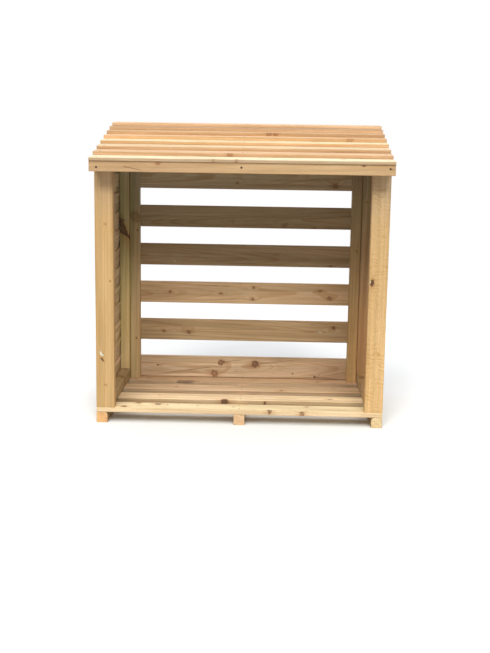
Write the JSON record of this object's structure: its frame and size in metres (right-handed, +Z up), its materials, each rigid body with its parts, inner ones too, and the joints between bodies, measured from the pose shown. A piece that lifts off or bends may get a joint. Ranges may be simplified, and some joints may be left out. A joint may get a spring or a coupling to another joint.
{
  "type": "log store",
  "caption": "Open-fronted timber log store with lap-boarded sides, a slatted back, a slatted floor on bearers and a lap-boarded roof that falls to the front.",
  "frame": {"origin": "on the ground under the middle of the roof's outline seen from above", "axes": "+Z up, +X to the right seen from the open front, the front faces -Y"},
  "size_m": [1.208, 0.737, 1.2562],
  "materials": {
    "pine_post": "sawn pressure-treated pine, honey coloured, dry",
    "pine_frame": "sawn pressure-treated pine, faint green tint, dry",
    "pine_board": "planed pressure-treated pine boards with knots, dry",
    "pine_boarding": "rough-sawn feather-edged pine boards, dry",
    "pine_roof": "rough-sawn feather-edged pine boards, orange tan, dry"
  },
  "bodies": {
    "root": {"front_post_left": "pine_post", "front_post_right": "pine_post", "bearer_left": "pine_frame", "bearer_middle": "pine_frame", "bearer_right": "pine_frame", "bottom_rail_left": "pine_frame", "bottom_rail_right": "pine_frame", "front_stud_left": "pine_frame", "front_stud_right": "pine_frame", "rear_stud_left": "pine_frame", "rear_stud_right": "pine_frame", "back_top_rail": "pine_frame", "back_batten_left": "pine_frame", "back_batten_right": "pine_frame", "rafter_left": "pine_frame", "rafter_middle": "pine_frame", "rafter_right": "pine_frame", "floor_board_1": "pine_board", "floor_board_2": "pine_board", "floor_board_3": "pine_board", "floor_board_4": "pine_board", "back_board_1": "pine_board", "back_board_2": "pine_board", "back_board_3": "pine_board", "back_board_4": "pine_board", "back_board_5": "pine_board", "back_board_6": "pine_board", "side_boarding_left": "pine_boarding", "side_boarding_right": "pine_boarding", "roof_board_1": "pine_roof", "roof_board_2": "pine_roof", "roof_board_3": "pine_roof", "roof_board_4": "pine_roof", "roof_board_5": "pine_roof", "roof_board_6": "pine_roof", "roof_board_7": "pine_roof", "roof_board_8": "pine_roof", "fascia": "pine_roof"}
  },
  "joints": []
}
